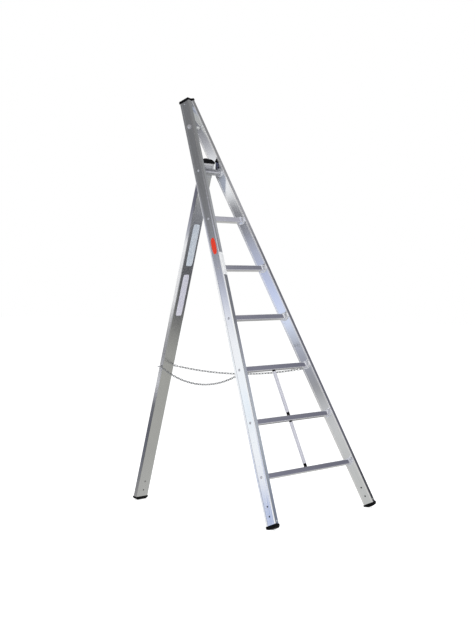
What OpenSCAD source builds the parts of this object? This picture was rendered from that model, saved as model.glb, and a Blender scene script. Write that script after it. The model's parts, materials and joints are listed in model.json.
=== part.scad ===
// Tripod orchard ladder: two converging stiles with seven rungs and a hinged rear leg.
// Millimetres. +X is to the right seen from the front, +Y to the rear leg, +Z up.
// The origin is on the ground, at the middle of the footprint.

/* [Frame] */
// Lean of the climbing frame from the vertical, degrees
lean = 22; // [17:0.5:27]
// Spacing of the stile centre lines at the ground
base_w = 942; // [860:2:1040]
// Clear gap between the stiles at the top
top_gap = 6; // [5:0.5:16]
// First rung above the ground, along the slope
first_rung = 264; // [230:2:300]
// Distance from rung to rung, along the slope
rung_pitch = 280; // [250:1:300]
// Stile above the top rung, along the slope
top_over = 413; // [390:1:460]

/* [Stiles] */
// Depth of a stile, front to back
stile_w = 64; // [60:1:80]
// Thickness of a stile, across the ladder
stile_t = 24; // [21:0.5:30]
// Radius of the stile's corners
stile_r = 3; // [1:0.5:4]
// Thickness of the recessed web
stile_wall = 1.8; // [1.4:0.1:2.6]
// Thickness of the front and back flange
stile_flange = 3; // [2:0.25:4]
// Depth of the recess in the broad faces
recess_d = 1.2; // [0.6:0.1:1.8]
// Width of the recess in the outer face
recess_w = 40; // [30:1:46]
// Diameter of the accessory holes
hole_d = 9; // [6:0.5:11]
// Height of a stile's lower accessory hole along the stile
hole_first = 68; // [58:1:80]
// Distance between the two accessory holes of a member
hole_pitch = 50; // [40:1:60]

/* [Rungs] */
// Height and depth of a square rung
rung_size = 28; // [25:0.5:32]
// Radius of a square rung's corners
rung_r = 4; // [1:0.5:6]
// Wall of a rung
rung_wall = 2; // [1.5:0.1:3]
// Diameter of the round top rung
axle_d = 28; // [25:0.5:32]
// Number of grooves in the tread
groove_n = 4; // [2:1:5]
// Distance between grooves
groove_pitch = 4.4; // [3.6:0.1:5]
// Width of a groove
groove_w = 1.8; // [1:0.1:2.4]
// Depth of a groove
groove_d = 0.7; // [0.3:0.1:1]

/* [Rung sockets and bolts] */
// Diameter of a rung socket
socket_d = 44; // [42:0.5:48]
// Least thickness of a socket's rim
socket_rim = 2; // [1.5:0.25:4]
// Chamfer of a socket's rim
socket_chamfer = 1.6; // [0.5:0.1:2]
// Length of the spigot inside the rung
spigot_len = 22; // [16:1:32]
// Diameter of a rung bolt
bolt_d = 8; // [5:0.5:9]
// Diameter of a domed bolt head
bolt_head_d = 14; // [11:0.5:18]
// Height of a domed bolt head
bolt_head_h = 3.6; // [2:0.2:5]
// Length of bolt past the stile's inner web
bolt_grip = 16; // [11:0.5:18]

/* [Feet and caps] */
// How far a foot or cap stands proud of its tube
lip = 1.5; // [0.5:0.25:2]
// Height of a stile foot below the tube
foot_h = 19; // [15:0.5:24]
// Corner radius of a stile foot
foot_r = 13; // [8:0.5:15]
// Depth of a foot lost to the flat that stands on the ground
foot_flat = 4; // [3:0.25:5]
// Length of a plug inside its tube
plug_len = 32; // [20:1:34]
// Thickness of a top cap
cap_h = 13.5; // [6:0.5:16]
// Gap between the two top caps
cap_gap = 0.6; // [0.4:0.1:3]
// Radius of a top cap's edges
cap_r = 5; // [2:0.5:6]
// Diameter of a foot screw's or cap rivet's shank
pin_d = 4; // [3:0.25:5]
// Diameter of a foot screw's or cap rivet's head
pin_head_d = 8; // [6.5:0.5:10]
// Height of a foot screw's or cap rivet's head
pin_head_h = 2; // [1:0.25:3]
// Distance of a foot screw or cap rivet from the tube's end
pin_in = 14; // [9:0.5:20]

/* [Top tie] */
// Distance of the tie from the top of the stiles, along the slope
tie_down = 150; // [110:2:200]
// Diameter of the spacer tube
tie_d = 16; // [14:0.5:20]
// Diameter of the wedge washers
tie_washer_d = 25; // [22:0.5:32]
// Least thickness of a wedge washer
tie_washer_rim = 1.5; // [1:0.25:3]

/* [Stays] */
// Place of the stays across the ladder
stay_x = -18; // [-60:1:60]
// Diameter of a stay tube
stay_d = 18.5; // [17:0.5:22]
// Wall of a stay tube
stay_wall = 1.5; // [1:0.1:2]
// Diameter of a stay bush between the rung and the tube
bush_d = 16.5; // [16:0.25:18]
// Length of the bush under a stay
low_bush = 19; // [12:0.5:26]
// Length of the bush above a stay
high_bush = 7; // [4:0.5:16]
// Length of a bush inside the stay
bush_seat = 13; // [8:0.5:20]
// Diameter of the bush's pin in the rung
bush_pin_d = 11; // [8:0.5:12]
// Length of the bush's pin
bush_pin_len = 6; // [4:0.5:9]

/* [Rear leg] */
// Lean of the leg from the vertical, degrees
leg_lean = 14.2; // [10:0.2:19]
// Width of the leg, across the ladder
leg_w = 100; // [84:1:106]
// Thickness of the leg
leg_t = 23; // [20:0.5:28]
// Radius of the leg's corners
leg_r = 4; // [1:0.5:6]
// Wall of the leg
leg_wall = 2.2; // [1.6:0.1:3]
// Height of the leg's lower accessory hole along the leg
leg_hole_first = 57; // [50:1:80]
// Leg above the hinge axle
leg_over = 43; // [40:1:60]
// Height of a leg plug at its edges
plug_edge = 8; // [5:0.5:12]
// Height of a leg plug at its crown
plug_crown = 24; // [18:0.5:30]

/* [Hinge] */
// Outer diameter of the knuckle
knuckle_d = 33; // [32:0.5:40]
// Length of the knuckle along the axle
knuckle_len = 90; // [60:1:96]
// Thickness of the knuckle's base plate
knuckle_base = 3; // [2.5:0.25:8]
// Height of the knuckle's base plate
knuckle_plate = 64; // [62:1:76]
// Diameter of a knuckle screw
screw_d = 6; // [4:0.5:6]
// Diameter of a knuckle screw's head
screw_head_d = 10; // [8:0.5:11]
// Height of a knuckle screw's head
screw_head_h = 3; // [2:0.25:4]
// Length of a knuckle screw's shank
screw_len = 15; // [9:0.5:16]
// Distance of the screws from the middle of the knuckle
screw_x = 30; // [16:1:38]
// Outer diameter of the spacers beside the knuckle
spacer_d = 32; // [31:0.5:38]

/* [Chains] */
// Height of the chain bolt along the leg
chain_leg_z = 773; // [600:1:900]
// Chain eyes below the third rung, along the slope
eye_drop = 8; // [0:0.5:40]
// Radius of an eye's ring at the middle of its wire
eye_r = 9; // [8:0.5:11]
// Wire of an eye's ring
eye_wire = 4; // [3:0.25:4.5]
// Diameter of the boss of an eye on the leg
eye_boss_d = 13; // [11:0.5:15]
// Height of the boss of an eye on the leg
leg_boss_h = 4; // [3:0.5:12]
// Height of the boss of an eye on a stile
eye_boss_h = 8; // [5:0.5:12]
// Inner length of a chain link
link_in = 17.5; // [16:0.25:22]
// Inner width of a chain link
link_gap = 5.4; // [5:0.1:7]
// Wire of a chain link
link_wire = 3; // [2.4:0.1:3.2]
// Play between a link and the next
link_play = 0.3; // [0.25:0.05:0.5]
// Sag of the left chain
left_sag = 74; // [20:1:90]
// Sag of the right chain
right_sag = 36; // [20:1:90]

/* [Fits] */
// Radial clearance of bolts and screws in their holes
bolt_clear = 0.15; // [0.1:0.05:0.4]
// Radial running clearance of the hinge
run_clear = 0.05; // [0.03:0.01:0.1]
// Clearance of a plug or spigot at each side of its tube
plug_clear = 0.2; // [0.1:0.05:0.4]
// End play of the knuckle between its spacers
side_play = 0.4; // [0.3:0.1:1]
// Clearance of a rung socket at each side of the stile's recess
socket_clear = 0.5; // [0.25:0.25:1]

/* [Hidden] */
$fn = 48;

rungs = 7;
chain_rung = 3;
far = 4000;
eps = 0.01;
// Wall left between a foot's plug and the hole above it
hole_land = 2;
// Dome of the tie nut as a share of its width
nut_dome = 0.42;
aluminium = "#b9bcc4";
black = "#151517";
zinc = "#cfd2d6";

// Frame: heights along the slope and the stiles' angle in the plane of the frame
function rung_s(i) = first_rung + (i - 1) * rung_pitch;
axle_s = rung_s(rungs);
top_s = axle_s + top_over;
tie_s = top_s - tie_down;
rough_splay = atan((base_w - stile_t - top_gap) / 2 / top_s);
top_w = stile_t / cos(rough_splay) + top_gap;
splay = atan((base_w - top_w) / 2 / top_s);
function half_w(s) = base_w / 2 - s * tan(splay);

// Stile section: the webs lie behind the ridges that run along both edges
web_x = stile_t / 2 - recess_d;
cavity_t = 2 * (web_x - stile_wall);
cavity_w = stile_w - 2 * stile_flange;
inner_recess_w = socket_d + 2 * socket_clear;
function web_at(s) = half_w(s) - web_x / cos(splay);
function outer_web_at(s) = half_w(s) + web_x / cos(splay);

// Feet: the rounded rear corner of a foot is cut flat by the ground
foot_reach = stile_w / 2 + lip;
foot_base = ((foot_reach - foot_r) * sin(lean) + foot_r - foot_flat) / (cos(lean) * cos(splay)) - foot_r;
stile_base = foot_base + foot_h;
stile_top = top_s / cos(splay);
// A foot's plug ends below the accessory holes
function foot_plug(base, hole) = min(plug_len, hole - hole_d / 2 - hole_land - base);

// Rungs end on the flat side of their sockets
socket_lean = socket_d / 2 * tan(splay);
function rung_end(s) = web_at(s) - socket_rim - socket_lean;
rung_bore = rung_size - 2 * rung_wall;
axle_bore = axle_d - 2 * rung_wall;

// Hinge: the axle lies in front of the leg by the knuckle and its base plate
hinge_off = leg_t / 2 + knuckle_base + knuckle_d / 2;
axle_y = axle_s * sin(lean);
axle_z = axle_s * cos(lean);
pivot_z = (axle_z + hinge_off * sin(leg_lean)) / cos(leg_lean);
leg_foot_y = axle_y + hinge_off * cos(leg_lean) + pivot_z * sin(leg_lean);
leg_base = plug_crown - foot_flat;
leg_top = pivot_z + leg_over;
screw_z = (knuckle_d + knuckle_plate) / 4;
// The top plug ends above the knuckle's screws
leg_plug_len = leg_over - screw_z - screw_d;

// Footprint: the frame and the leg are set about the middle of their reach on the ground
front_reach = (foot_reach - foot_r) * cos(lean) + foot_r
    - ((foot_base + foot_r) * cos(splay) - (stile_t / 2 + lip) * sin(splay)) * sin(lean);
rear_reach = leg_foot_y + (leg_t / 2 + lip) / cos(leg_lean);
frame_y = (front_reach - rear_reach) / 2;
leg_y = frame_y + leg_foot_y;

// Places on the members, in the ladder's own axes
function frame_pt(p) = [
    p.x,
    frame_y + p.y * cos(lean) + p.z * sin(lean),
    p.z * cos(lean) - p.y * sin(lean)];
function stile_pt(side, p) = frame_pt([
    side * (base_w / 2 + p.x * cos(splay) - p.z * sin(splay)),
    p.y,
    p.x * sin(splay) + p.z * cos(splay)]);
function leg_pt(p) = [
    p.x,
    leg_y + p.y * cos(leg_lean) - p.z * sin(leg_lean),
    p.y * sin(leg_lean) + p.z * cos(leg_lean)];

// Chain eyes: the stiles' eyes stand on the flat of the rear ridge, beside the third rung's sockets
ridge_w = stile_w / 2 - stile_r - inner_recess_w / 2;
eye_back = (inner_recess_w + ridge_w) / 2;
eye_z = (rung_s(chain_rung) - eye_drop) / cos(splay);
eye_x = stile_t / 2 + eye_boss_h + eye_r;
leg_eye_x = leg_w / 2 + leg_boss_h + eye_r;

// Chains: each strand hangs in an arc from the back of a stile's level eye to the front of a leg's
link_r = (link_gap + link_wire) / 2;
link_run = (link_in - link_gap) / 2;
link_first = link_in / 2 - eye_wire / 2 - link_play;
twist_links = 4;
function chain_from(side) =
    stile_pt(side, [-eye_x, eye_back + eye_r * cos(lean), eye_z + eye_r * sin(lean)]);
function chain_to(side) =
    leg_pt([side * leg_eye_x, -eye_r * cos(leg_lean), chain_leg_z + eye_r * sin(leg_lean)]);
function sag_of(side) = side < 0 ? left_sag : right_sag;
function chord(side) = chain_to(side) - chain_from(side);
function arc_r(side) = (pow(norm(chord(side)) / 2, 2) + pow(sag_of(side), 2)) / 2 / sag_of(side);
function arc_half(side) = asin(norm(chord(side)) / 2 / arc_r(side));
function arc_len(side) = arc_r(side) * arc_half(side) * PI / 90;
// Both strands have the number of links that the longer arc needs
longest = max(arc_len(-1), arc_len(1));
links = ceil((longest - 2 * link_first) / (link_in - link_play)) + 1;
function link_step(side) = (arc_len(side) - 2 * link_first) / (links - 1);
function link_angle(side, k) =
    ((link_first + k * link_step(side)) / arc_len(side) * 2 - 1) * arc_half(side);
function chord_rise(side) = asin(chord(side).z / norm(chord(side)));
function chord_turn(side) = atan2(chord(side).y, chord(side).x);
// A link at either end stands upright in its eye, and the next ones turn to half right angles
function end_twist(k) = 45 * max(0, 1 - k / twist_links);
function parity(k) = k % 2 == 0 ? 1 : -1;
function link_roll(k) = parity(k) * 45 + end_twist(k) + parity(links - 1) * end_twist(links - 1 - k);

// Rectangle about the origin with round corners
module round_rect(w, h, r) {
    square([w - 2 * r, h], center = true);
    square([w, h - 2 * r], center = true);
    for (x = [-1, 1], y = [-1, 1])
        translate([x * (w / 2 - r), y * (h / 2 - r)])
            circle(r);
}

// Low dome with a shank, standing on the plane z = 0
module dome_bolt(head_d, head_h, shank_d, shank_len) {
    crown = (head_d * head_d / 4 + head_h * head_h) / 2 / head_h;
    rotate_extrude()
        intersection() {
            translate([0, head_h - crown])
                circle(crown);
            square([head_d / 2, head_h]);
        }
    translate([0, 0, -shank_len])
        cylinder(d = shank_d, h = shank_len + eps);
}

// A side of 1 is right and -1 is left
module on_side(side) {
    if (side < 0)
        mirror([1, 0, 0]) children();
    else
        children();
}

// Plane of the climbing frame: Z runs up the slope
module in_frame() {
    translate([0, frame_y, 0])
        rotate([-lean, 0, 0])
            children();
}

// A stile's own axes: X points outwards, Z runs up the stile
module in_stile() {
    translate([base_w / 2, 0, 0])
        rotate([0, -splay, 0])
            children();
}

// The leg's own axes: Y points to the back, Z runs up the leg
module in_leg() {
    translate([0, leg_y, 0])
        rotate([leg_lean, 0, 0])
            children();
}

// Everything beyond a stile's inner web, in the plane of the frame
module beyond_web() {
    in_stile()
        translate([-web_x, -far / 2, -far / 2])
            cube([far, far, 2 * far]);
}

module below_ground() {
    translate([-far / 2, -far / 2, -far])
        cube(far);
}

module stile_section() {
    difference() {
        round_rect(stile_t, stile_w, stile_r);
        translate([web_x, -recess_w / 2])
            square([stile_t, recess_w]);
        translate([-web_x - stile_t, -inner_recess_w / 2])
            square([stile_t, inner_recess_w]);
        square([cavity_t, cavity_w], center = true);
    }
}

// Hole across a stile, at a height along it and a place front to back
module stile_hole(d, z, y = 0) {
    translate([-stile_t, y, z])
        rotate([0, 90, 0])
            cylinder(d = d, h = 2 * stile_t);
}

module stile(side) {
    color(aluminium)
        in_frame()
            on_side(side)
                difference() {
                    in_stile()
                        difference() {
                            translate([0, 0, stile_base])
                                linear_extrude(stile_top - stile_base)
                                    stile_section();
                            for (z = [hole_first, hole_first + hole_pitch])
                                stile_hole(hole_d, z);
                            for (i = [1 : rungs])
                                stile_hole(bolt_d + 2 * bolt_clear, rung_s(i) / cos(splay));
                            translate([-stile_t, eye_back, eye_z])
                                rotate([0, 90, 0])
                                    cylinder(d = ridge_w / 2 + 2 * bolt_clear, h = stile_t);
                            translate([0, -stile_w, stile_base + pin_in])
                                rotate([-90, 0, 0])
                                    cylinder(d = pin_d + 2 * bolt_clear, h = stile_w);
                            translate([0, 0, stile_top - pin_in])
                                rotate([0, 90, 0])
                                    cylinder(d = pin_d + 2 * bolt_clear, h = stile_t);
                        }
                    translate([0, 0, tie_s])
                        rotate([0, 90, 0])
                            cylinder(d = bolt_d + 2 * bolt_clear, h = base_w);
                }
}

module square_rung_section() {
    difference() {
        round_rect(rung_size, rung_size, rung_r);
        square(rung_bore, center = true);
        for (k = [0 : groove_n - 1])
            translate([(k - (groove_n - 1) / 2) * groove_pitch - groove_w / 2, rung_size / 2 - groove_d])
                square([groove_w, rung_size]);
    }
}

module axle_section() {
    difference() {
        circle(d = axle_d);
        circle(d = axle_bore);
    }
}

// Rung number i, with the holes that the stay bushes plug into
module rung(i) {
    s = rung_s(i);
    color(aluminium)
        in_frame()
            translate([0, 0, s])
                difference() {
                    rotate([90, 0, 90])
                        linear_extrude(2 * rung_end(s), center = true)
                            if (i == rungs)
                                axle_section();
                            else
                                square_rung_section();
                    if (i == 1 || i == 2)
                        translate([stay_x, 0, 0])
                            cylinder(d = bush_pin_d + 2 * plug_clear, h = rung_size);
                    if (i == 2 || i == 3)
                        translate([stay_x, 0, -rung_size])
                            cylinder(d = bush_pin_d + 2 * plug_clear, h = rung_size);
                }
}

// Wedge-shaped collar on the right stile's inner web, with its spigot in rung number i
module rung_socket(i) {
    s = rung_s(i);
    x = rung_end(s);
    spigot = rung_bore - 2 * plug_clear;
    difference() {
        union() {
            translate([x, 0, s])
                rotate([0, 90, 0]) {
                    cylinder(d1 = socket_d - 2 * socket_chamfer, d2 = socket_d, h = socket_chamfer);
                    translate([0, 0, socket_chamfer])
                        cylinder(d = socket_d, h = 2 * socket_lean + socket_rim);
                }
            if (i == rungs)
                translate([x - spigot_len, 0, s])
                    rotate([0, 90, 0])
                        cylinder(d = axle_bore - 2 * plug_clear, h = spigot_len + eps);
            else
                translate([x - spigot_len, -spigot / 2, s - spigot / 2])
                    cube([spigot_len + eps, spigot, spigot]);
        }
        beyond_web();
        in_stile()
            translate([-web_x - bolt_grip - bolt_clear, 0, s / cos(splay)])
                rotate([0, 90, 0])
                    cylinder(d = bolt_d + 2 * bolt_clear, h = stile_t + bolt_grip);
    }
}

module rung_sockets(side) {
    color(zinc)
        in_frame()
            on_side(side)
                for (i = [1 : rungs])
                    rung_socket(i);
}

module rung_bolts(side) {
    color(zinc)
        in_frame()
            on_side(side)
                in_stile()
                    for (i = [1 : rungs])
                        translate([web_x, 0, rung_s(i) / cos(splay)])
                            rotate([0, 90, 0])
                                dome_bolt(bolt_head_d, bolt_head_h, bolt_d, 2 * web_x + bolt_grip);
}

// Block across a stile whose lower corners are round, seen from the side
module end_block(h, r) {
    w = 2 * foot_reach;
    rotate([90, 0, 90])
        linear_extrude(stile_t + 2 * lip, center = true)
            intersection() {
                translate([0, w / 2])
                    round_rect(w, w, r);
                translate([-w / 2, 0])
                    square([w, h]);
            }
}

module stile_plug(depth) {
    translate([0, 0, depth / 2])
        cube([cavity_t - 2 * plug_clear, cavity_w - 2 * plug_clear, depth + eps], center = true);
}

module foot(side) {
    color(black)
        difference() {
            in_frame()
                on_side(side)
                    in_stile()
                        difference() {
                            union() {
                                translate([0, 0, foot_base])
                                    end_block(foot_h, foot_r);
                                translate([0, 0, stile_base])
                                    stile_plug(foot_plug(stile_base, hole_first));
                            }
                            translate([0, -stile_w, stile_base + pin_in])
                                rotate([-90, 0, 0])
                                    cylinder(d = pin_d + 2 * bolt_clear, h = stile_w);
                        }
            below_ground();
        }
}

module foot_screws() {
    color(zinc)
        in_frame()
            for (side = [-1, 1])
                on_side(side)
                    in_stile()
                        translate([0, -stile_w / 2, stile_base + pin_in])
                            rotate([90, 0, 0])
                                dome_bolt(pin_head_d, pin_head_h, pin_d, stile_w / 3);
}

// Cap whose inner side is cut off where the two caps come together
module top_cap(side) {
    color(black)
        in_frame()
            on_side(side)
                difference() {
                    in_stile()
                        translate([0, 0, stile_top])
                            rotate([180, 0, 0])
                                difference() {
                                    union() {
                                        translate([0, 0, -cap_h])
                                            end_block(cap_h, cap_r);
                                        stile_plug(plug_len);
                                    }
                                    translate([0, 0, pin_in])
                                        rotate([0, 90, 0])
                                            cylinder(d = pin_d + 2 * bolt_clear, h = stile_t);
                                }
                    translate([cap_gap / 2 - far, -far / 2, 0])
                        cube(far);
                }
}

module cap_rivets() {
    color(zinc)
        in_frame()
            for (side = [-1, 1])
                on_side(side)
                    in_stile()
                        translate([web_x, 0, stile_top - pin_in])
                            rotate([0, 90, 0])
                                dome_bolt(pin_head_d, pin_head_h, pin_d, web_x - eps);
}

// The tie's spacer tube ends on the flat side of its wedge washers
tie_washer_lean = tie_washer_d / 2 * tan(splay);
tie_end = web_at(tie_s) - tie_washer_rim - tie_washer_lean;
tie_face = outer_web_at(tie_s) + tie_washer_rim + tie_washer_lean;

module tie_spacer() {
    color(aluminium)
        in_frame()
            translate([-tie_end, 0, tie_s])
                rotate([0, 90, 0])
                    difference() {
                        cylinder(d = tie_d, h = 2 * tie_end);
                        translate([0, 0, -eps])
                            cylinder(d = bolt_d + 2 * bolt_clear, h = 2 * tie_end + 2 * eps);
                    }
}

// Washer that fills the angle between the tie and a stile's web
module wedge_washer(from, to) {
    translate([from, 0, tie_s])
        rotate([0, 90, 0])
            difference() {
                cylinder(d = tie_washer_d, h = to - from);
                translate([0, 0, -eps])
                    cylinder(d = bolt_d + 2 * bolt_clear, h = to - from + 2 * eps);
            }
}

module tie_washers() {
    deep = tie_washer_rim + 2 * tie_washer_lean;
    color(zinc)
        in_frame()
            for (side = [-1, 1])
                on_side(side) {
                    difference() {
                        wedge_washer(tie_end, tie_end + deep);
                        beyond_web();
                    }
                    difference() {
                        wedge_washer(tie_face - deep, tie_face);
                        in_stile()
                            translate([web_x - far, -far / 2, -far / 2])
                                cube([far, far, 2 * far]);
                    }
                }
}

module tie_bolt() {
    color(zinc)
        in_frame()
            translate([-tie_face, 0, tie_s])
                rotate([0, -90, 0])
                    dome_bolt(bolt_head_d, bolt_head_h, bolt_d, 2 * tie_face + bolt_head_h);
}

// Dome nut on the free end of the tie bolt
module tie_nut() {
    color(zinc)
        in_frame()
            translate([tie_face, 0, tie_s])
                rotate([0, 90, 0])
                    difference() {
                        union() {
                            cylinder(d = bolt_head_d, h = bolt_head_h + 1, $fn = 6);
                            translate([0, 0, bolt_head_h])
                                sphere(d = 2 * nut_dome * bolt_head_d);
                        }
                        translate([0, 0, -far])
                            cylinder(r = far / 2, h = far);
                        translate([0, 0, -eps])
                            cylinder(d = bolt_d + 2 * bolt_clear, h = bolt_head_h + bolt_clear);
                    }
}

// Stay tube from rung number i up to the next
module stay(i) {
    from = rung_s(i) + rung_size / 2 + low_bush;
    to = rung_s(i + 1) - rung_size / 2 - high_bush;
    color(aluminium)
        in_frame()
            translate([stay_x, 0, from])
                difference() {
                    cylinder(d = stay_d, h = to - from);
                    translate([0, 0, -eps])
                        cylinder(d = stay_d - 2 * stay_wall, h = to - from + 2 * eps);
                }
}

// Plug that carries the end of a stay, with its pin in the rung's wall
module stay_bush(len) {
    cylinder(d = bush_d, h = len);
    translate([0, 0, -bush_pin_len])
        cylinder(d = bush_pin_d, h = bush_pin_len + eps);
    translate([0, 0, len - eps])
        cylinder(d = stay_d - 2 * stay_wall - 2 * plug_clear, h = bush_seat + eps);
}

module stay_bushes() {
    color(black)
        in_frame()
            for (i = [1, 2]) {
                translate([stay_x, 0, rung_s(i) + rung_size / 2])
                    stay_bush(low_bush);
                translate([stay_x, 0, rung_s(i + 1) - rung_size / 2])
                    rotate([180, 0, 0])
                        stay_bush(high_bush);
            }
}

// Ring on a boss that stands on the plane x = 0 and points along X
module eye_bolt(boss_d, boss_h) {
    rotate([0, 90, 0])
        cylinder(d = boss_d, h = boss_h);
    translate([boss_h + eye_r, 0, 0])
        rotate_extrude()
            translate([eye_r, 0])
                circle(d = eye_wire);
}

module chain_eye(side) {
    color(zinc)
        in_frame()
            on_side(side)
                in_stile()
                    translate([-stile_t / 2, eye_back, eye_z])
                        rotate([-lean, 0, 180]) {
                            eye_bolt(ridge_w, eye_boss_h);
                            translate([-web_x, 0, 0])
                                rotate([0, 90, 0])
                                    cylinder(d = ridge_w / 2, h = web_x + eps);
                        }
}

// Sleeves on the axle between the knuckle and the sockets
module hinge_spacers() {
    from = knuckle_len / 2 + side_play / 2;
    to = rung_end(axle_s);
    color(aluminium)
        in_frame()
            for (side = [-1, 1])
                on_side(side)
                    translate([from, 0, axle_s])
                        rotate([0, 90, 0])
                            difference() {
                                cylinder(d = spacer_d, h = to - from);
                                translate([0, 0, -eps])
                                    cylinder(d = axle_d + 2 * bolt_clear, h = to - from + 2 * eps);
                            }
}

module leg_section() {
    difference() {
        round_rect(leg_w, leg_t, leg_r);
        square([leg_w - 2 * leg_wall, leg_t - 2 * leg_wall], center = true);
    }
}

module leg_tube() {
    color(aluminium)
        in_leg()
            difference() {
                translate([0, 0, leg_base])
                    linear_extrude(leg_top - leg_base)
                        leg_section();
                for (z = [leg_hole_first, leg_hole_first + hole_pitch])
                    translate([0, -leg_t, z])
                        rotate([-90, 0, 0])
                            cylinder(d = hole_d, h = 2 * leg_t);
                translate([-leg_w, 0, chain_leg_z])
                    rotate([0, 90, 0])
                        cylinder(d = bolt_d + 2 * bolt_clear, h = 2 * leg_w);
                for (x = [-1, 1], z = [-1, 1])
                    translate([x * screw_x, -leg_t, pivot_z + z * screw_z])
                        rotate([-90, 0, 0])
                            cylinder(d = screw_d + 2 * bolt_clear, h = leg_t);
            }
}

// Plug for an end of the leg with an arched head, standing on the plane z = 0
module leg_plug(depth) {
    w = leg_w + 2 * lip;
    rise = plug_crown - plug_edge;
    arch = (w * w / 4 + rise * rise) / 2 / rise;
    rotate([90, 0, 0])
        linear_extrude(leg_t + 2 * lip, center = true)
            intersection() {
                translate([0, plug_crown - arch])
                    circle(arch, $fn = 96);
                translate([-w / 2, 0])
                    square([w, plug_crown]);
            }
    translate([0, 0, -depth / 2])
        cube([
            leg_w - 2 * leg_wall - 2 * plug_clear,
            leg_t - 2 * leg_wall - 2 * plug_clear,
            depth + eps], center = true);
}

module leg_foot() {
    color(black)
        difference() {
            in_leg()
                translate([0, 0, leg_base])
                    rotate([180, 0, 0])
                        leg_plug(foot_plug(leg_base, leg_hole_first));
            below_ground();
        }
}

module leg_top_plug() {
    color(black)
        in_leg()
            translate([0, 0, leg_top])
                leg_plug(leg_plug_len);
}

// Sleeve on the axle with its base plate on the leg's front face
module hinge_knuckle() {
    neck = knuckle_d * 2 / 3;
    color(aluminium)
        in_leg()
            difference() {
                translate([0, -hinge_off, pivot_z])
                    rotate([90, 0, 90])
                        linear_extrude(knuckle_len, center = true)
                            difference() {
                                union() {
                                    circle(d = knuckle_d);
                                    translate([0, -neck / 2])
                                        square([knuckle_d / 2 + eps, neck]);
                                    translate([knuckle_d / 2, -knuckle_plate / 2])
                                        square([knuckle_base, knuckle_plate]);
                                }
                                circle(d = axle_d + 2 * run_clear);
                            }
                for (x = [-1, 1], z = [-1, 1])
                    translate([x * screw_x, -hinge_off, pivot_z + z * screw_z])
                        rotate([-90, 0, 0])
                            cylinder(d = screw_d + 2 * bolt_clear, h = hinge_off);
            }
}

module knuckle_screws() {
    color(zinc)
        in_leg()
            for (x = [-1, 1], z = [-1, 1])
                translate([x * screw_x, -leg_t / 2 - knuckle_base, pivot_z + z * screw_z])
                    rotate([90, 0, 0])
                        dome_bolt(screw_head_d, screw_head_h, screw_d, screw_len);
}

// Stud through the leg that joins the two chain eyes
module leg_cross_bolt() {
    len = leg_w + leg_boss_h;
    color(zinc)
        in_leg()
            translate([-len / 2, 0, chain_leg_z])
                rotate([0, 90, 0])
                    cylinder(d = bolt_d, h = len);
}

module leg_chain_eyes() {
    color(zinc)
        in_leg()
            for (side = [-1, 1])
                on_side(side)
                    translate([leg_w / 2, 0, chain_leg_z])
                        difference() {
                            rotate([-leg_lean, 0, 0])
                                eye_bolt(eye_boss_d, leg_boss_h);
                            translate([-eps, 0, 0])
                                rotate([0, 90, 0])
                                    cylinder(d = bolt_d + 2 * bolt_clear, h = leg_boss_h / 2 + bolt_clear);
                        }
}

// Oval link along X in the plane z = 0
module chain_link() {
    for (end = [-1, 1]) {
        translate([end * link_run, 0, 0])
            rotate([0, 0, -90 * end])
                rotate_extrude(angle = 180)
                    translate([link_r, 0])
                        circle(d = link_wire);
        translate([-link_run - eps, end * link_r, 0])
            rotate([0, 90, 0])
                cylinder(d = link_wire, h = 2 * link_run + 2 * eps);
    }
}

// Links from number first to number last of a strand, each turned along the arc
module chain(side, first, last) {
    r = arc_r(side);
    half = arc_half(side);
    color(zinc)
        translate(chain_from(side))
            rotate([0, -chord_rise(side), chord_turn(side)])
                for (k = [first : last]) {
                    a = link_angle(side, k);
                    translate([r * (sin(a) + sin(half)), 0, r * (cos(half) - cos(a))])
                        rotate([link_roll(k), -a, 0])
                            chain_link();
                }
}

// The front half is the shorter one, so that both halves hang to one place when the leg is folded
mid_link = floor(links / 2) - 1;

module chain_front(side) {
    chain(side, 0, mid_link - 1);
}

module chain_rear(side) {
    chain(side, mid_link, links - 1);
}

stile(-1);  // left_stile
stile(1);  // right_stile
rung(1);  // rung_1
rung(2);  // rung_2
rung(3);  // rung_3
rung(4);  // rung_4
rung(5);  // rung_5
rung(6);  // rung_6
rung(7);  // rung_7
rung_sockets(-1);  // left_rung_sockets
rung_sockets(1);  // right_rung_sockets
rung_bolts(-1);  // left_rung_bolts
rung_bolts(1);  // right_rung_bolts
foot(-1);  // left_foot
foot(1);  // right_foot
foot_screws();
top_cap(-1);  // left_top_cap
top_cap(1);  // right_top_cap
cap_rivets();
tie_spacer();
tie_washers();
tie_bolt();
tie_nut();
stay(2);  // upper_stay
stay(1);  // lower_stay
stay_bushes();
chain_eye(-1);  // left_chain_eye
chain_eye(1);  // right_chain_eye
hinge_spacers();
leg_tube();
leg_foot();
leg_top_plug();
hinge_knuckle();
knuckle_screws();
leg_cross_bolt();
leg_chain_eyes();
chain_front(-1);  // left_chain_front
chain_rear(-1);  // left_chain_rear
chain_front(1);  // right_chain_front
chain_rear(1);  // right_chain_rear
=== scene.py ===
"""Finishes, blank labels, studio and camera for a tripod orchard ladder."""
import json
import math

import bmesh
import bpy
import numpy as np
from mathutils import Matrix, Vector


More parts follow.
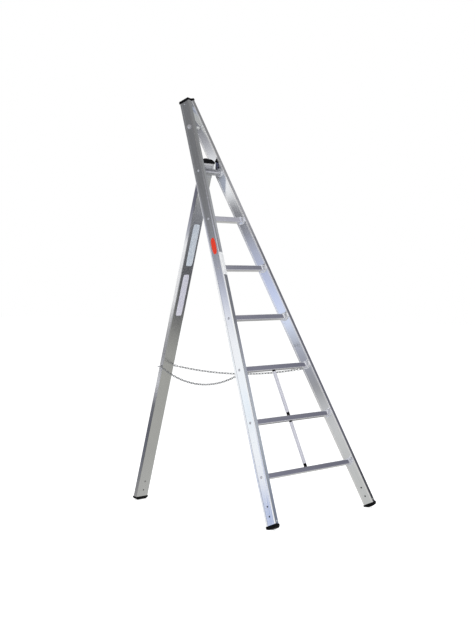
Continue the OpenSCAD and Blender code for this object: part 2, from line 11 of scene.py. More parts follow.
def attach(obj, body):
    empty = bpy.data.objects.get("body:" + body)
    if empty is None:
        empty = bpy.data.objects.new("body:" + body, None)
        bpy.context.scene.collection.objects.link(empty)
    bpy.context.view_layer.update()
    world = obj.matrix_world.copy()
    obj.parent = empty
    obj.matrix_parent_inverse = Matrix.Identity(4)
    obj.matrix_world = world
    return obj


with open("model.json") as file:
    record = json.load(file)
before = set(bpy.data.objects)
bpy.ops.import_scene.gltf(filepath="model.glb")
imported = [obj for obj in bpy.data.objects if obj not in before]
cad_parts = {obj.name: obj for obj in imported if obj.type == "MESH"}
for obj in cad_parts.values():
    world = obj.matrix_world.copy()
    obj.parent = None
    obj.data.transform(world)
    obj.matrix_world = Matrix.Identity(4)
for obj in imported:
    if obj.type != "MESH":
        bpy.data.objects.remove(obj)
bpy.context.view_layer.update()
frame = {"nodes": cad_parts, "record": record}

# Sizes of the ladder in metres and degrees, as its solids have them
LEAN = 22.0
LEG_LEAN = 14.2
BASE_W = 0.942
TOP_GAP = 0.006
FIRST_RUNG = 0.264
RUNG_PITCH = 0.280
TOP_OVER = 0.413
RUNGS = 7
STILE_W = 0.064
STILE_T = 0.024
STILE_R = 0.003
RECESS_D = 0.0012
LEG_T = 0.023
LEG_W = 0.100

# The frame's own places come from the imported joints
JOINTS = {joint["name"]: joint for joint in frame["record"]["behaviour"]["joints"]}
MOUNTS = {mount["name"]: mount for mount in frame["record"]["mounts"]}
AXLE = Vector(JOINTS["leg_fold"]["pos_m"])
AXLE_S = FIRST_RUNG + (RUNGS - 1) * RUNG_PITCH
TOP_S = AXLE_S + TOP_OVER
FRAME_Y = AXLE.y - AXLE_S * math.sin(math.radians(LEAN))
LEG_Y = MOUNTS["leg_foot_pad"]["pos_m"][1]
ROUGH_SPLAY = math.atan((BASE_W - STILE_T - TOP_GAP) / 2 / TOP_S)
TOP_W = STILE_T / math.cos(ROUGH_SPLAY) + TOP_GAP
SPLAY = math.degrees(math.atan((BASE_W - TOP_W) / 2 / TOP_S))
WEB_X = STILE_T / 2 - RECESS_D


def turn(axis, degrees):
    """Turn about one axis, as a four by four matrix."""
    return Matrix.Rotation(math.radians(degrees), 4, axis)


FRAME_AXES = Matrix.Translation((0, FRAME_Y, 0)) @ turn("X", -LEAN)
RUNG_AXES = FRAME_AXES @ turn("Y", 90)
LEG_AXES = Matrix.Translation((0, LEG_Y, 0)) @ turn("X", LEG_LEAN)


def stile_axes(side):
    """Axes of a stile: X to the right, Y to the back, Z up the stile, for side -1 left and 1 right."""
    return FRAME_AXES @ Matrix.Translation((side * BASE_W / 2, 0, 0)) @ turn("Y", -side * SPLAY)


# Surfaces on a grid
SEAM = 1e-7  # points nearer than this are one
RIM_POWER = 12  # how late a label falls to its rim


def grid_faces(rows, columns, wrap):
    """Quads between neighbouring points of a grid, with the columns closed to a ring where wrap is true."""
    last = columns if wrap else columns - 1
    r, c = np.meshgrid(np.arange(rows - 1), np.arange(last), indexing="ij")
    n = (c + 1) % columns
    below, above = r * columns, (r + 1) * columns
    return np.stack([below + c, below + n, above + n, above + c], -1).reshape(-1, 4)


def surface(name, points, axes, wrap=True):
    """New smooth object from a grid of points in a member's own axes, with seams and poles joined.

    Each point is turned by the axes and moved to their origin.
    """
    rows, columns = points.shape[:2]
    flat = points.reshape(-1, 3)
    world = flat @ np.array(axes.to_3x3()).T + np.array(axes.translation)
    mesh = bpy.data.meshes.new(name)
    mesh.from_pydata(world.tolist(), [], grid_faces(rows, columns, wrap).tolist())
    joined = bmesh.new()
    joined.from_mesh(mesh)
    bmesh.ops.remove_doubles(joined, verts=joined.verts, dist=SEAM)
    joined.to_mesh(mesh)
    joined.free()
    mesh.polygons.foreach_set("use_smooth", np.full(len(mesh.polygons), True))
    mesh.update()
    piece = bpy.data.objects.new(name, mesh)
    bpy.context.scene.collection.objects.link(piece)
    return piece


def rounded_patch(width, height, power, thickness, rows=7, columns=64):
    """Thin pad in the XY plane: superellipse of the given power, its rim falling to the surface.

    x = w/2 t sgn(cos a)|cos a|^(2/p), y likewise with sin, and z = thickness (1 - t^rim power).
    """
    t = np.linspace(0, 1, rows)[:, None]
    a = np.linspace(0, 2 * np.pi, columns, endpoint=False)[None, :]
    x = width / 2 * t * np.sign(np.cos(a)) * np.abs(np.cos(a)) ** (2 / power)
    y = height / 2 * t * np.sign(np.sin(a)) * np.abs(np.sin(a)) ** (2 / power)
    z = thickness * (1 - t ** RIM_POWER) + 0 * x
    return np.stack([x, y, z], -1)


def finish_piece(piece, body, material):
    """Give a new piece its body and its material."""
    piece.data.materials.append(material)
    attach(piece, body)


# Shader nodes, where each value may be a socket or a constant
NOISE_SPAN = (0.3, 0.7)  # where most of a noise lies


def fill(tree, node, values):
    """Feed inputs of a node by name or number: a socket is linked, and a constant is set."""
    for name, value in values.items():
        if isinstance(value, bpy.types.NodeSocket):
            tree.links.new(value, node.inputs[name])
        else:
            node.inputs[name].default_value = value


def made(tree, kind, values, **settings):
    """Outputs of a new shader node, with its settings made and its inputs fed."""
    node = tree.nodes.new(kind)
    for name, setting in settings.items():
        setattr(node, name, setting)
    fill(tree, node, values)
    return node.outputs


def worked(tree, operation, *values):
    """Result of one arithmetic step."""
    return made(tree, "ShaderNodeMath", dict(enumerate(values)), operation=operation)["Value"]


def along(tree, source, direction):
    """How far a vector points along a direction."""
    return made(tree, "ShaderNodeVectorMath", {0: source, 1: direction}, operation="DOT_PRODUCT")["Value"]


def stretched(tree, source, factors):
    """Vector with each of its parts multiplied."""
    return made(tree, "ShaderNodeVectorMath", {0: source, 1: factors}, operation="MULTIPLY")["Vector"]


def ranged(tree, source, span, to=(0.0, 1.0), kind="LINEAR"):
    """Map a span of values to another one, and hold its ends."""
    values = {"Value": source, "From Min": span[0], "From Max": span[1], "To Min": to[0], "To Max": to[1]}
    return made(tree, "ShaderNodeMapRange", values, interpolation_type=kind)["Result"]


def stepped(tree, source, span, to=(0.0, 1.0)):
    """Smooth step over a span of values."""
    return ranged(tree, source, span, to, "SMOOTHSTEP")


def mixed(tree, factor, first, second, blend="MIX"):
    """Mix of two colours by a factor."""
    values = {"Factor": factor, "A": first, "B": second}
    return made(tree, "ShaderNodeMix", values, data_type="RGBA", blend_type=blend)["Result"]


def tones(tree, source, stops):
    """Colour ramp through a list of place and colour, where a single number is a grey."""
    node = tree.nodes.new("ShaderNodeValToRGB")
    ends = node.color_ramp.elements
    while len(ends) < len(stops):
        ends.new(0.5)
    for element, (place, colour) in zip(ends, stops):
        element.position = place
        element.color = (*colour, 1) if isinstance(colour, tuple) else (colour, colour, colour, 1)
    fill(tree, node, {"Fac": source})
    return node.outputs["Color"]


def between(tree, source, low, high, span=NOISE_SPAN):
    """Colour from one to another over a span of values."""
    return mixed(tree, ranged(tree, source, span), low, high)


def noise(tree, place, scale, detail):
    """Soft noise about 0.5 by place."""
    return made(tree, "ShaderNodeTexNoise", {"Vector": place, "Scale": scale, "Detail": detail})["Fac"]


def own_place(tree):
    """Place on an object in its own axes."""
    return made(tree, "ShaderNodeTexCoord", {})["Object"]


def aligned(tree, axes):
    """Place on a member in the member's axes."""
    inverse = axes.inverted()
    move, rotation = inverse.translation, inverse.to_euler("XYZ")
    values = {"Vector": own_place(tree), "Location": move, "Rotation": rotation}
    return made(tree, "ShaderNodeMapping", values)["Vector"]


def parts_of(tree, vector):
    """X, Y and Z of a vector."""
    return made(tree, "ShaderNodeSeparateXYZ", {"Vector": vector}).values()


def bumped(tree, height, strength, distance, **normal):
    """Normal raised by a height, over the surface's normal or over a given one."""
    values = {"Height": height, "Strength": strength, "Distance": distance, **normal}
    return made(tree, "ShaderNodeBump", values)["Normal"]


def shader_mix(tree, factor, first, second):
    """Mix of two shaders by a factor."""
    return made(tree, "ShaderNodeMixShader", {"Fac": factor, 1: first, 2: second})["Shader"]


def grouped(tree, group, values):
    """Outputs of a shader group that is placed in a material with its own values."""
    return made(tree, "ShaderNodeGroup", values, node_tree=group)


# Shader node groups, with their inputs and outputs by name and kind
VALUE = "NodeSocketFloat"
COLOUR = "NodeSocketColor"
VECTOR = "NodeSocketVector"
PLACE_INPUT = {"Vector": VECTOR}
FINISH_INPUTS = {
    "Vector": VECTOR,
    "Dark Tone": COLOUR,
    "Light Tone": COLOUR,
    "Low Roughness": VALUE,
    "High Roughness": VALUE,
}
# Grain of drawn metal: stretch of the place, then scale and detail of the noise
STREAK_STRETCH = (1, 1, 0.012)
SCUFF_STRETCH = (0.25, 0.25, 1.6)
STREAK_NOISE = (260.0, 3)
BLOTCH_NOISE = (5.0, 4)
SCUFF_NOISE = (70.0, 2)
SCUFF_SPAN = (0.66, 0.74)
SCUFF_ROUGH = 0.06
STREAK_TONES = ((0.80, 0.80, 0.82, 1), (1, 1, 1, 1))
STREAK_SHARE = 0.35
# Edges by their distance from the middle of the section
RIDGE_EDGE = (0.0205, 0.0222)
FLANGE_EDGE = (STILE_W / 2 - 0.0016, STILE_W / 2 - 0.0006)
NARROW_EDGE = (LEG_W / 2 - 0.0022, LEG_W / 2 - 0.0010)
# Tones of the leg, those of its narrow faces by height over the reach: painted reflections, light and dark
# bands up the leg
LEG_FRONT_TONE = (0.73, 0.735, 0.725, 1)
NARROW_REACH = 2.0
NARROW_PAINTED_REFLECTIONS = [
    (0.05, 0.50), (0.125, (0.27, 0.27, 0.28)), (0.20, (0.22, 0.22, 0.23)), (0.275, (0.28, 0.28, 0.29)),
    (0.34, 0.90), (0.425, (0.45, 0.45, 0.46)), (0.50, 0.62), (0.575, 0.97), (0.73, 1.0),
    (0.765, (0.50, 0.51, 0.56)), (0.845, (0.18, 0.18, 0.22)),
]


def new_group(name, inputs, outputs):
    """Empty shader group, its inputs as sockets to read, and its node of outputs to fill."""
    group = bpy.data.node_groups.new(name, "ShaderNodeTree")
    for title, kind in inputs.items():
        group.interface.new_socket(title, in_out="INPUT", socket_type=kind)
    for title, kind in outputs.items():
        group.interface.new_socket(title, in_out="OUTPUT", socket_type=kind)
    return group, group.nodes.new("NodeGroupInput").outputs, group.nodes.new("NodeGroupOutput")


def draw_grain_group():
    """Metal with streaks along Z of the member's axes, soft blotches of tone and a few rough scuffs."""
    outputs = {"Colour": COLOUR, "Roughness": VALUE, "Streaks": VALUE}
    group, given, out = new_group("draw_grain", FINISH_INPUTS, outputs)
    place = given["Vector"]
    streaks = noise(group, stretched(group, place, STREAK_STRETCH), *STREAK_NOISE)
    blotches = noise(group, place, *BLOTCH_NOISE)
    scuffs = noise(group, stretched(group, place, SCUFF_STRETCH), *SCUFF_NOISE)
    colour = between(group, blotches, given["Dark Tone"], given["Light Tone"])
    streaked = between(group, streaks, *STREAK_TONES)
    drawn = ranged(group, streaks, NOISE_SPAN, (given["Low Roughness"], given["High Roughness"]))
    fill(group, out, {
        "Colour": mixed(group, STREAK_SHARE, colour, streaked, "MULTIPLY"),
        "Roughness": worked(group, "MULTIPLY_ADD", ranged(group, scuffs, SCUFF_SPAN), SCUFF_ROUGH, drawn),
        "Streaks": streaks,
    })
    return group


def uneven_group():
    """Finish whose tone and roughness change together with a noise."""
    inputs = {**FINISH_INPUTS, "Scale": VALUE, "Detail": VALUE}
    group, given, out = new_group("uneven_finish", inputs, {"Colour": COLOUR, "Roughness": VALUE})
    spots = noise(group, given["Vector"], given["Scale"], given["Detail"])
    fill(group, out, {
        "Colour": between(group, spots, given["Dark Tone"], given["Light Tone"]),
        "Roughness": ranged(group, spots, NOISE_SPAN, (given["Low Roughness"], given["High Roughness"])),
    })
    return group


def ridge_group():
    """1 on a stile's ridges and 0 elsewhere, the same for its flanges, and 0 to 1 up the stile."""
    outputs = {"Ridge": VALUE, "Flange": VALUE, "Height": VALUE}
    group, given, out = new_group("stile_ridge", PLACE_INPUT, outputs)
    _, y, z = parts_of(group, given["Vector"])
    depth = worked(group, "ABSOLUTE", y)
    flange = stepped(group, depth, FLANGE_EDGE)
    fill(group, out, {
        "Ridge": worked(group, "SUBTRACT", stepped(group, depth, RIDGE_EDGE), flange),
        "Flange": flange,
        "Height": worked(group, "DIVIDE", z, TOP_S),
    })
    return group


def narrow_face_reflection_group():
    """Tone of the leg: even on its broad faces, and on its narrow faces painted reflections that change
    with the height.
    """
    group, given, out = new_group("leg_narrow_face_painted_reflection", PLACE_INPUT, {"Tone": COLOUR})
    x, _, z = parts_of(group, given["Vector"])
    narrow = stepped(group, worked(group, "ABSOLUTE", x), NARROW_EDGE)
    painted_by_height = tones(group, worked(group, "DIVIDE", z, NARROW_REACH), NARROW_PAINTED_REFLECTIONS)
    fill(group, out, {"Tone": mixed(group, narrow, LEG_FRONT_TONE, painted_by_height)})
    return group


DRAW_GRAIN = draw_grain_group()
UNEVEN = uneven_group()
RIDGE = ridge_group()
NARROW_FACE_REFLECTIONS = narrow_face_reflection_group()

# Materials, with each noise as scale and detail and each bump as strength and height
RIDGE_ROUGH = 0.02
# Ridges a little lighter than the web: a painted highlight along the stiles' ridges
RIDGE_HIGHLIGHT_TONE = (1.0, 1.0, 0.99, 1)
WEB_TONE = (0.96, 0.98, 1.0, 1)
GRAIN_BUMP = (0.12, 0.0003)
PLATING_DETAIL = 4
FILM_NOISE = (45.0, 5)
FILM_ROUGH = (0.28, 0.42)
DUST_NOISE = (28.0, 6)
DUST_SPAN = (0.35, 0.75)
CELL_SCALE = 900.0
CELL_BUMP = (0.2, 0.0002)
PLASTIC_ROUGH = (0.42, 0.6)
PLASTIC_SHINE = 0.06


def new_material(name):
    """Material, its node tree and its Principled shader."""
    material = bpy.data.materials.new(name)
    material.use_nodes = True
    return material, material.node_tree, material.node_tree.nodes["Principled BSDF"]


def finish_values(place, low, high, rough):
    """A finish's own values by the names of the groups' inputs."""
    return {
        "Vector": place,
        "Dark Tone": (*low, 1),
        "Light Tone": (*high, 1),
        "Low Roughness": rough[0],
        "High Roughness": rough[1],
    }


def leaned_normal(tree, mask, lean):
    """Surface normal with a small vector added to it where the mask is 1."""
    share = made(tree, "ShaderNodeVectorMath", {0: lean, "Scale": mask}, operation="SCALE")["Vector"]
    normal = made(tree, "ShaderNodeTexCoord", {})["Normal"]
    total = made(tree, "ShaderNodeVectorMath", {0: normal, 1: share}, operation="ADD")["Vector"]
    spaces = {"vector_type": "NORMAL", "convert_from": "OBJECT", "convert_to": "WORLD"}
    return made(tree, "ShaderNodeVectorTransform", {"Vector": total}, **spaces)["Vector"]


def drawn_aluminium(
    name, axes, low, high, rough=(0.30, 0.44),
    flange=None, matt=None, crown=0.0, ridge_metal=1.0, narrow=False, metal=1.0,
):
    """Mill-finish aluminium with draw lines along Z of the member's axes.

    A stile has ridges a little lighter than the web, a painted highlight, and flanges toned by height
    with painted reflection and shade, partly matt by height where matt is given, and its ridges turned
    down by the crown. The leg's narrow faces carry painted reflections, light and dark bands by height.
    """
    material, tree, shader = new_material(name)
    place = aligned(tree, axes)
    grain = grouped(tree, DRAW_GRAIN, finish_values(place, low, high, rough))
    colour, roughness, metallic, normal = grain["Colour"], grain["Roughness"], metal, {}
    if flange:
        ridge = grouped(tree, RIDGE, {"Vector": place})
        # Ridges lighter than the web: painted highlight
        tone = mixed(tree, ridge["Ridge"], WEB_TONE, RIDGE_HIGHLIGHT_TONE)
        # Flange tones by height: painted reflection and shade
        tone = mixed(tree, ridge["Flange"], tone, tones(tree, ridge["Height"], flange))
        colour = mixed(tree, 1.0, colour, tone, "MULTIPLY")
        roughness = worked(tree, "MULTIPLY_ADD", ridge["Ridge"], RIDGE_ROUGH, roughness)
        metallic = stepped(tree, ridge["Ridge"], (0.0, 1.0), (metal, ridge_metal))
        if matt:
            share = worked(tree, "MULTIPLY", ridge["Flange"], tones(tree, ridge["Height"], matt))
            metallic = worked(tree, "SUBTRACT", metallic, share)
        if crown:
            lean = axes.to_3x3() @ Vector((0, 0, -crown))
            normal = {"Normal": leaned_normal(tree, ridge["Ridge"], lean)}
    if narrow:
        # The leg's narrow faces carry painted reflections, light and dark bands by height
        tone = grouped(tree, NARROW_FACE_REFLECTIONS, {"Vector": place})["Tone"]
        colour = mixed(tree, 1.0, colour, tone, "MULTIPLY")
    fill(tree, shader, {
        "Base Color": colour,
        "Roughness": roughness,
        "Metallic": metallic,
        "Normal": bumped(tree, grain["Streaks"], *GRAIN_BUMP, **normal),
    })
    return material


def uneven_finish(name, low, high, rough, scale, detail, metal=0.0):
    """Material whose tone and roughness change together."""
    material, tree, shader = new_material(name)
    values = finish_values(own_place(tree), low, high, rough)
    uneven = grouped(tree, UNEVEN, {**values, "Scale": scale, "Detail": detail})
    fill(tree, shader, {
        "Base Color": uneven["Colour"],
        "Roughness": uneven["Roughness"],
        "Metallic": metal,
    })
    return material


def plated_steel(name, low, high, rough=(0.22, 0.36), scale=160.0, metal=1.0):
    """Zinc-plated or turned metal with fine uneven brightness."""
    return uneven_finish(name, low, high, rough, scale, PLATING_DETAIL, metal)


def printed_film(name, low, high):
    """Blank self-adhesive film with faint rubbing."""
    return uneven_finish(name, low, high, FILM_ROUGH, *FILM_NOISE)


def moulded_plastic(name, low, high):
    """Black moulded plastic with a fine spark-eroded texture."""
    material, tree, shader = new_material(name)
    place = own_place(tree)
    cells = made(tree, "ShaderNodeTexVoronoi", {"Vector": place, "Scale": CELL_SCALE})["Distance"]
    dust = noise(tree, place, *DUST_NOISE)
    fill(tree, shader, {
        "Base Color": between(tree, dust, (*low, 1), (*high, 1), DUST_SPAN),
        "Roughness": ranged(tree, dust, NOISE_SPAN, PLASTIC_ROUGH),
        "Specular IOR Level": PLASTIC_SHINE,
        "Normal": bumped(tree, cells, *CELL_BUMP),
    })
    return material


# Finishes: two tones each, then the roughness, and the tones of flanges by height up the stile, which are
# painted reflection and shade
STILE_TONES = (0.95, 0.95, 0.955), (0.995, 0.995, 1.0), (0.07, 0.12)
# Left flange lighter and bluish up to about half the height, darker above: painted reflection and shade
LEFT_FLANGE_PAINTED_LIGHT = [(0.0, (0.84, 0.94, 1.0)), (0.36, (0.92, 0.96, 1.0)), (0.47, (0.80, 0.82, 0.80))]
LEFT_MATT = [(0.03, 0.0), (0.20, 0.42), (0.30, 0.42), (0.48, 0.0)]
LEFT_CROWN = 0.022
# Right flange dark at the foot, lighter up the stile: painted shade
RIGHT_FLANGE_PAINTED_SHADE = [(0.0, 0.20), (0.10, (0.50, 0.50, 0.48)), (0.20, (0.80, 0.80, 0.78))]
LEFT_STILE = drawn_aluminium(
    "left_stile_aluminium", stile_axes(-1), *STILE_TONES,
    flange=LEFT_FLANGE_PAINTED_LIGHT, matt=LEFT_MATT, crown=LEFT_CROWN)
RIGHT_STILE = drawn_aluminium(
    "right_stile_aluminium", stile_axes(1), *STILE_TONES,
    flange=RIGHT_FLANGE_PAINTED_SHADE, ridge_metal=0.7)
LEG = drawn_aluminium(
    "leg_aluminium", LEG_AXES, (0.93, 0.93, 0.93), (0.99, 0.99, 0.99), (0.20, 0.28), narrow=True)
RUNG = drawn_aluminium("rung_aluminium", RUNG_AXES, (0.88, 0.88, 0.92), (0.97, 0.97, 0.99), (0.08, 0.13))
STAY = drawn_aluminium(
    "stay_aluminium", FRAME_AXES, (0.80, 0.80, 0.88), (0.88, 0.88, 0.95), (0.50, 0.60), metal=0.35)
FITTING = drawn_aluminium("fitting_aluminium", RUNG_AXES, (0.66, 0.67, 0.69), (0.76, 0.77, 0.78))
SOCKET = plated_steel("turned_socket", (0.86, 0.88, 0.93), (0.94, 0.95, 0.98), metal=0.6)
DULL_WASHER = plated_steel("dull_washer", (0.42, 0.42, 0.44), (0.50, 0.50, 0.52), (0.45, 0.55), metal=0.3)
BRIGHT_FITTING = plated_steel(
    "bright_fitting", (0.84, 0.86, 0.84), (0.94, 0.95, 0.94), (0.30, 0.40), metal=0.4)
RUNG_BOLT = plated_steel("rung_bolt", (0.50, 0.51, 0.55), (0.66, 0.66, 0.70), metal=0.45)
FASTENER = plated_steel("zinc_fastener", (0.70, 0.71, 0.73), (0.82, 0.83, 0.84))
CHAIN = plated_steel("zinc_chain", (0.46, 0.47, 0.47), (0.62, 0.63, 0.62), (0.3, 0.45), scale=90.0)
PLUG = moulded_plastic("black_plug", (0.003, 0.003, 0.004), (0.010, 0.010, 0.011))
RED_FILM = printed_film("red_film", (0.86, 0.035, 0.010), (0.95, 0.055, 0.016))
WHITE_FILM = printed_film("white_film", (0.90, 0.91, 0.93), (0.96, 0.96, 0.97))
PALE_FILM = printed_film("pale_film", (0.74, 0.82, 0.93), (0.86, 0.92, 0.99))
LILAC_FILM = printed_film("lilac_film", (0.80, 0.79, 0.93), (0.90, 0.89, 0.98))

SLOT_FINISH = {
    "rung": RUNG,
    "leg": LEG,
    "stay": STAY,
    "socket": SOCKET,
    "fitting": FITTING,
    "fastener": FASTENER,
    "chain": CHAIN,
    "plug": PLUG,
}
PIECE_FINISH = {
    "left_rung_bolts": RUNG_BOLT,
    "right_rung_bolts": RUNG_BOLT,
    "tie_spacer": BRIGHT_FITTING,
    "tie_washers": DULL_WASHER,
    "foot_screws": BRIGHT_FITTING,
}


def dress_nodes():
    """Give every solid its own finish or that of its slot, and each stile the grain of its own axes."""
    slots = {part["node"]: part["material_slot"] for part in frame["record"]["subparts"]}
    for name, node in frame["nodes"].items():
        stile = LEFT_STILE if name.startswith("left") else RIGHT_STILE
        finish = PIECE_FINISH.get(name) or SLOT_FINISH.get(slots[name], stile)
        node.data.materials.clear()
        node.data.materials.append(finish)


# Blank labels: centre and size on the face that carries them, and the power of the outline
FILM = 0.0003
RED_MARK = (0.0, 1.536), (0.030, 0.094), 2.6
UPPER_LABEL = (0.004, 1.458), (0.056, 0.232), 9.0
LOWER_LABEL = (0.001, 1.178), (0.052, 0.231), 9.0
# The label bent round the corner: its ends up the stile, its reach on the ridge and on the flange
CORNER_ENDS = (1.362, 1.490)
CORNER_BACK = 0.0215
CORNER_RIGHT = 0.0112


def on_outer_web(side):
    """Axes on a stile's outer web: X to the front on the left stile, Y up the stile, Z out of the web."""
    out = Matrix(((0, 0, side, side * WEB_X), (side, 0, 0, 0), (0, 1, 0, 0), (0, 0, 0, 1)))
    return stile_axes(side) @ out


def on_leg_front():
    """Axes on the leg's front face: X to the right, Y up the leg, Z to the front."""
    out = Matrix(((1, 0, 0, 0), (0, 0, -1, -LEG_T / 2), (0, 1, 0, 0), (0, 0, 0, 1)))
    return LEG_AXES @ out


def label(name, axes, body, slot, material, centre, size, power):
    """Blank label on a face, centred at a place on it."""
    place = axes @ Matrix.Translation((*centre, 0))
    piece = surface(name, rounded_patch(*size, power, FILM), place)
    finish_piece(piece, body, material)


def corner_path(back, right, steps=7):
    """Path across a left stile's section: down the outer ridge, round the front corner, along the flange.

    The corner is a quarter circle about the section's own corner centre, one film outside its radius.
    """
    x, y, r = STILE_T / 2 - STILE_R, STILE_W / 2 - STILE_R, STILE_R + FILM
    a = np.linspace(0, np.pi / 2, steps)
    corner = np.stack([-x - r * np.cos(a), -y - r * np.sin(a)], -1)
    ridge = np.stack([np.full(steps, -x - r), np.linspace(-back, -y, steps)], -1)
    flange = np.stack([np.linspace(-x, right, 2 * steps), np.full(2 * steps, -y - r)], -1)
    return np.concatenate([ridge[:-1], corner, flange[1:]])


def wrapped_label(low, high, round_off=0.006, rows=9):
    """Label bent round the corner: each point of the path is drawn up the stile, shorter near the two ends.

    Half the height is h - r + sqrt(r^2 - d^2), with d the distance into the rounded end r.
    """
    path = corner_path(CORNER_BACK, CORNER_RIGHT)
    run = np.concatenate([[0], np.cumsum(np.linalg.norm(np.diff(path, axis=0), axis=1))])
    into = np.clip(round_off - np.minimum(run, run[-1] - run), 0, round_off)
    half = (high - low) / 2 - round_off + np.sqrt(round_off ** 2 - into ** 2)
    z = (low + high) / 2 + np.linspace(-1, 1, rows)[:, None] * half[None, :]
    x = np.broadcast_to(path[:, 0], z.shape)
    y = np.broadcast_to(path[:, 1], z.shape)
    return np.stack([x, y, z], -1)


def labels():
    """The blank labels of the left stile and of the leg."""
    label("red_mark", on_outer_web(-1), "climbing_frame", "stile", RED_FILM, *RED_MARK)
    corner = surface("corner_label", wrapped_label(*CORNER_ENDS), stile_axes(-1), wrap=False)
    finish_piece(corner, "climbing_frame", WHITE_FILM)
    label("leg_label_upper", on_leg_front(), "rear_leg", "leg", PALE_FILM, *UPPER_LABEL)
    label("leg_label_lower", on_leg_front(), "rear_leg", "leg", LILAC_FILM, *LOWER_LABEL)


# Camera
CAMERA_FROM_FRAME = Vector((-6.780, -4.245, 1.229))
CAMERA_YAW = 54.74
CAMERA_PITCH = -1.33
CAMERA_REACH = 100
PHOTO_HEIGHT = 630
FOCAL_PIXELS = 1559.8
SENSOR = 36.0


def camera():
    """Camera at the photograph's place, looking along its yaw and pitch."""
    data = bpy.data.cameras.new("photo_camera")
    data.sensor_fit = "VERTICAL"
    data.sensor_height = SENSOR
    data.lens = FOCAL_PIXELS / PHOTO_HEIGHT * SENSOR
    data.clip_end = CAMERA_REACH
    eye = bpy.data.objects.new("photo_camera", data)
    eye.location = CAMERA_FROM_FRAME + Vector((0, FRAME_Y, 0))
    eye.rotation_euler = (math.radians(90 + CAMERA_PITCH), 0, math.radians(-CAMERA_YAW))
    bpy.context.scene.collection.objects.link(eye)
    bpy.context.scene.camera = eye


# Directions across the studio: the pale side is behind on the left, the dim side in front on the right
RIGHT = (1, 0, 0)
UP = (0, 0, 1)
PALE_SIDE = (-0.816, 0.577, 0.0)
DIM_SIDE = (0.816, -0.577, 0.0)
# Walls by the height of the direction, and how the dim side sets in and falls off to the right
PALE_WALLS = [
    (0.0, 1.0), (0.112, 1.0), (0.118, (0.18, 0.28, 0.58)), (0.133, (0.24, 0.34, 0.66)), (0.142, 1.0),
    (0.174, 1.0), (0.19, (0.80, 0.91, 1.0)), (0.206, 1.0), (0.238, 1.0), (0.248, (0.72, 0.75, 0.88)),
    (0.260, (0.40, 0.42, 0.54)), (0.275, (0.32, 0.32, 0.35)), (0.297, (0.185, 0.185, 0.187)),
    (0.45, (0.155, 0.155, 0.16)), (0.8, (0.45, 0.45, 0.47)),
]
DIM_WALLS = [
    (0.0, (0.80, 0.80, 0.84)), (0.10, (0.88, 0.88, 0.92)), (0.15, (0.66, 0.66, 0.72)),
    (0.20, (0.44, 0.44, 0.50)), (0.27, (0.237, 0.240, 0.295)), (0.375, (0.245, 0.248, 0.300)),
    (0.412, (0.19, 0.192, 0.225)), (0.420, (0.50, 0.50, 0.55)), (0.443, (0.48, 0.48, 0.52)),
    (0.46, (0.34, 0.34, 0.355)), (0.48, (0.29, 0.29, 0.30)), (0.6, (0.20, 0.20, 0.21)),
]
DIM_START = (-0.75, 0.35)
FALL_SPAN = (0.816, 0.844)
FALL = (1.0, 0.68)
# Light of the world that is not seen
GLOW = {"Color": (0.98, 0.99, 1.0, 1), "Strength": 0.52}
WHITE = (1, 1, 1, 1)


def seen_directly(tree):
    """1 for a camera, glossy or transmission ray, and 0 for the rest."""
    path = made(tree, "ShaderNodeLightPath", {})
    either = worked(tree, "MAXIMUM", path["Is Camera Ray"], path["Is Glossy Ray"])
    return worked(tree, "MAXIMUM", either, path["Is Transmission Ray"])


def studio_walls(tree):
    """Colour of the studio by direction: white near the horizon, dim overhead and in front on the right."""
    place = made(tree, "ShaderNodeTexCoord", {})["Generated"]
    height = along(tree, place, UP)
    pale = tones(tree, height, PALE_WALLS)
    shaded = stepped(tree, along(tree, place, RIGHT), FALL_SPAN, FALL)
    dim = mixed(tree, 1.0, tones(tree, height, DIM_WALLS), shaded, "MULTIPLY")
    return mixed(tree, stepped(tree, along(tree, place, DIM_SIDE), DIM_START), pale, dim)


def backdrop():
    """White world for the camera, the studio's walls for what mirrors them, and soft grey for the light."""
    world = bpy.data.worlds.new("studio")
    bpy.context.scene.world = world
    world.use_nodes = True
    tree = world.node_tree
    glow = tree.nodes["Background"]
    fill(tree, glow, GLOW)
    white = made(tree, "ShaderNodeBackground", {"Color": WHITE})[0]
    walls = made(tree, "ShaderNodeBackground", {"Color": studio_walls(tree)})[0]
    camera_ray = made(tree, "ShaderNodeLightPath", {})["Is Camera Ray"]
    seen = shader_mix(tree, camera_ray, walls, white)
    both = shader_mix(tree, seen_directly(tree), glow.outputs[0], seen)
    fill(tree, tree.nodes["World Output"], {"Surface": both})


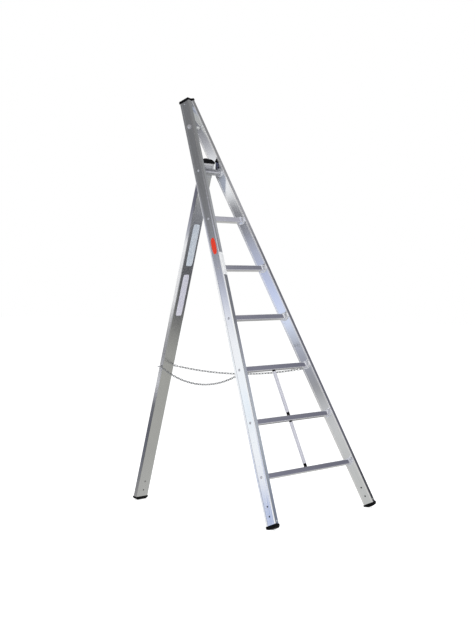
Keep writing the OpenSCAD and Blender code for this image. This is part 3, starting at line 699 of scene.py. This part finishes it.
# The floor, and its bands towards the pale side as metal mirrors them
FLOOR_HALF = 30
FLOOR_DROP = 0.0005
FLOOR_LOOK = {"Base Color": (0.9, 0.9, 0.9, 1), "Roughness": 0.9, "Specular IOR Level": 0.0}
FLOOR_GLOW = 0.64
BAND_REACH = (-8.0, 24.0)
BANDS = [
    (0.0, (0.95, 0.95, 0.98)), (0.03, (0.80, 0.80, 0.86)), (0.046, (0.16, 0.19, 0.26)),
    (0.062, (0.06, 0.08, 0.12)), (0.09, (0.10, 0.10, 0.12)), (0.165, (0.13, 0.13, 0.14)),
    (0.173, (0.52, 0.52, 0.49)), (0.24, (0.56, 0.56, 0.54)), (0.2625, (0.60, 0.60, 0.59)), (0.2725, 0.56),
    (0.286, (0.33, 0.33, 0.34)), (0.305, (0.36, 0.37, 0.43)), (0.317, (0.52, 0.55, 0.62)),
    (0.329, (0.74, 0.80, 0.96)), (0.345, (0.64, 0.70, 0.91)), (0.37, (0.50, 0.54, 0.70)),
    (0.395, (0.44, 0.46, 0.55)), (0.412, (0.25, 0.25, 0.27)), (0.442, (0.13, 0.13, 0.14)), (0.453, 1.0),
    (0.505, 1.0), (0.525, (0.36, 0.36, 0.39)), (0.55, (0.34, 0.34, 0.36)), (0.575, (0.12, 0.12, 0.13)),
    (0.74, (0.11, 0.11, 0.12)), (0.80, 1.0),
]
# The floor's shade behind the ladder on the right, by the way across it and its length
SHADE_SIDE = (0.5, 0.85, 0.0)
SHADE_REACH = (0.0, 3.0)
SHADE_START = (0.2, 0.6)
SHADE = [
    (0.19, 1.0), (0.25, (0.36, 0.36, 0.38)), (0.36, (0.38, 0.38, 0.40)), (0.48, (0.55, 0.55, 0.57)),
    (0.63, (0.70, 0.70, 0.72)), (0.77, (0.95, 0.95, 0.97)), (0.9, 1.0),
]


def floor_sheen(tree):
    """Colour of the floor as metal mirrors it: bands towards the pale side, and a shade on the right."""
    place = own_place(tree)
    bands = tones(tree, ranged(tree, along(tree, place, PALE_SIDE), BAND_REACH), BANDS)
    shade = tones(tree, ranged(tree, along(tree, place, SHADE_SIDE), SHADE_REACH), SHADE)
    right = stepped(tree, along(tree, place, RIGHT), SHADE_START)
    return mixed(tree, right, bands, shade, "MULTIPLY")


def floor():
    """Pale floor that keeps the shadow and meets the white backdrop: a level square of nine points."""
    line = np.linspace(-FLOOR_HALF, FLOOR_HALF, 3)
    x, y = np.meshgrid(line, line, indexing="ij")
    points = np.stack([x, y, np.full_like(x, -FLOOR_DROP)], -1)
    ground = surface("floor", points, Matrix.Identity(4), wrap=False)
    material, tree, shader = new_material("pale_floor")
    fill(tree, shader, FLOOR_LOOK)
    plain = shader.outputs[0]
    white = made(tree, "ShaderNodeEmission", {"Strength": FLOOR_GLOW})[0]
    seen = made(tree, "ShaderNodeAddShader", {0: plain, 1: white})[0]
    sheen = made(tree, "ShaderNodeEmission", {"Color": floor_sheen(tree)})[0]
    path = made(tree, "ShaderNodeLightPath", {})
    mirrored = shader_mix(tree, path["Is Glossy Ray"], plain, sheen)
    both = shader_mix(tree, path["Is Camera Ray"], mirrored, seen)
    fill(tree, tree.nodes["Material Output"], {"Surface": both})
    ground.data.materials.append(material)


# Lamps: place, aim, size and power
KEY_LAMP = (-5.0, -4.6, 3.6), (0, 0, 1.0), 5.0, 190
TOP_LAMP = (0.5, 0.5, 5.0), (0, 0, 0), 4.0, 45


def soft_light(name, place, aim, size, power):
    """Square softbox that looks at a point and stays out of the mirrored studio."""
    data = bpy.data.lights.new(name, "AREA")
    data.size = size
    data.energy = power
    lamp = bpy.data.objects.new(name, data)
    lamp.location = place
    lamp.rotation_euler = (Vector(aim) - Vector(place)).to_track_quat("-Z", "Y").to_euler()
    lamp.visible_glossy = False
    bpy.context.scene.collection.objects.link(lamp)


def studio():
    """Backdrop, floor, lamps and camera."""
    backdrop()
    floor()
    soft_light("key", *KEY_LAMP)
    soft_light("top", *TOP_LAMP)
    camera()
    bpy.context.scene.view_settings.view_transform = "Standard"


dress_nodes()
labels()
studio()
